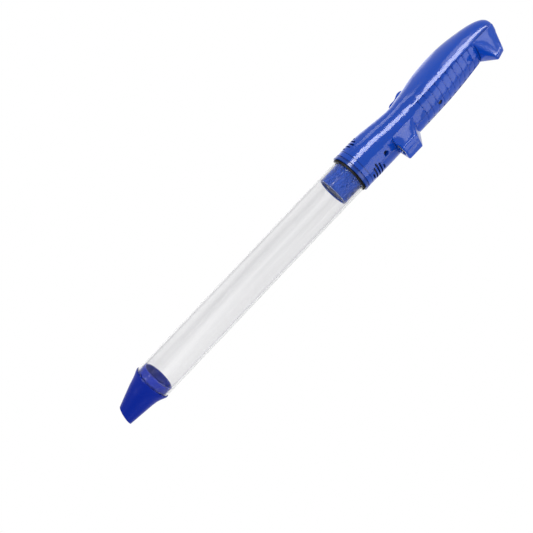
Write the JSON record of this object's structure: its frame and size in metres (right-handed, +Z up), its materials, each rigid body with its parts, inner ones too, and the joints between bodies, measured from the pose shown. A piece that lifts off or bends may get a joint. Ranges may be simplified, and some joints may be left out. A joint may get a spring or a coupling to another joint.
{
  "type": "vacuum insect catcher",
  "caption": "Hand-held vacuum insect catcher: clear tube with an eccentric nozzle and trap flap, on a handle with fan, lamp, thumb slider and battery.",
  "frame": {"origin": "middle of the object's length and width, on the ground plane that the handle's front lump rests on", "axes": "+X along the tool from the nozzle to the handle's end, +Y across to the battery door's side, +Z up to the thumb slider"},
  "size_m": [0.6024, 0.0506, 0.0769],
  "materials": {
    "body_blue": "glossy moulded shell",
    "socket_blue": "glossy moulded socket",
    "nozzle_blue": "glossy moulded, darker",
    "clear_tube": "clear tube",
    "clear_lens": "clear lens",
    "lamp_clear": "clear moulded lamp",
    "seal_black": "soft matt ring",
    "switch_black": "matt moulded",
    "fan_white": "matt moulded",
    "bracket_grey": "matt moulded",
    "motor_steel": "drawn steel",
    "armature_dark": "laminated core with wire",
    "screw_steel": "plated steel",
    "reflector_silver": "bright coated",
    "board_green": "coated board",
    "battery_grey": "printed sleeve"
  },
  "bodies": {
    "handle": {"left_shell": "body_blue", "right_shell": "body_blue", "tube_socket": "socket_blue", "tube_seal": "seal_black", "insect_screen": "socket_blue", "motor_can": "motor_steel", "motor_end_cap": "fan_white", "motor_bracket": "bracket_grey", "motor_screws": "screw_steel", "slide_switch": "switch_black", "lamp_lens": "clear_lens", "lamp_reflector": "reflector_silver", "lamp_led": "lamp_clear", "lamp_board": "board_green", "battery": "battery_grey", "battery_snap": "switch_black", "battery_cradle": "bracket_grey", "shell_screws": "screw_steel", "underside_screws": "screw_steel"},
    "rotor": {"impeller": "fan_white", "motor_shaft": "motor_steel", "motor_armature": "armature_dark"},
    "slider": {"thumb_slider": "body_blue", "switch_lever": "switch_black"},
    "door": {"battery_door": "body_blue"},
    "tube": {"collecting_tube": "clear_tube"},
    "nozzle": {"nozzle": "nozzle_blue", "flap_pin": "screw_steel"},
    "flap": {"trap_flap": "nozzle_blue"}
  },
  "joints": [
    {"name": "impeller_spin", "type": "hinge", "parent": "handle", "child": "rotor", "pos_m": [0.1, 0, 0.0442], "axis": [1, 0, 0], "continuous": true},
    {"name": "slider_travel", "type": "slide", "parent": "handle", "child": "slider", "axis": [-0.9584, 0, -0.2855], "range_m": [0, 0.005]},
    {"name": "door_hinge", "type": "hinge", "parent": "handle", "child": "door", "pos_m": [0.2019, 0.0226, 0.0482], "axis": [0, 0, 1], "range_deg": [0, 100]},
    {"name": "tube_pull", "type": "slide", "parent": "handle", "child": "tube", "axis": [-1, 0, 0], "range_m": [0, 0.026]},
    {"name": "nozzle_pull", "type": "slide", "parent": "tube", "child": "nozzle", "axis": [-1, 0, 0], "range_m": [0, 0.009]},
    {"name": "flap_hinge", "type": "hinge", "parent": "nozzle", "child": "flap", "pos_m": [-0.2772, -0.00864, 0.04735], "axis": [0, -0.342, -0.9397], "range_deg": [0, 62], "stiffness_Nm_per_rad": 0.002}
  ]
}
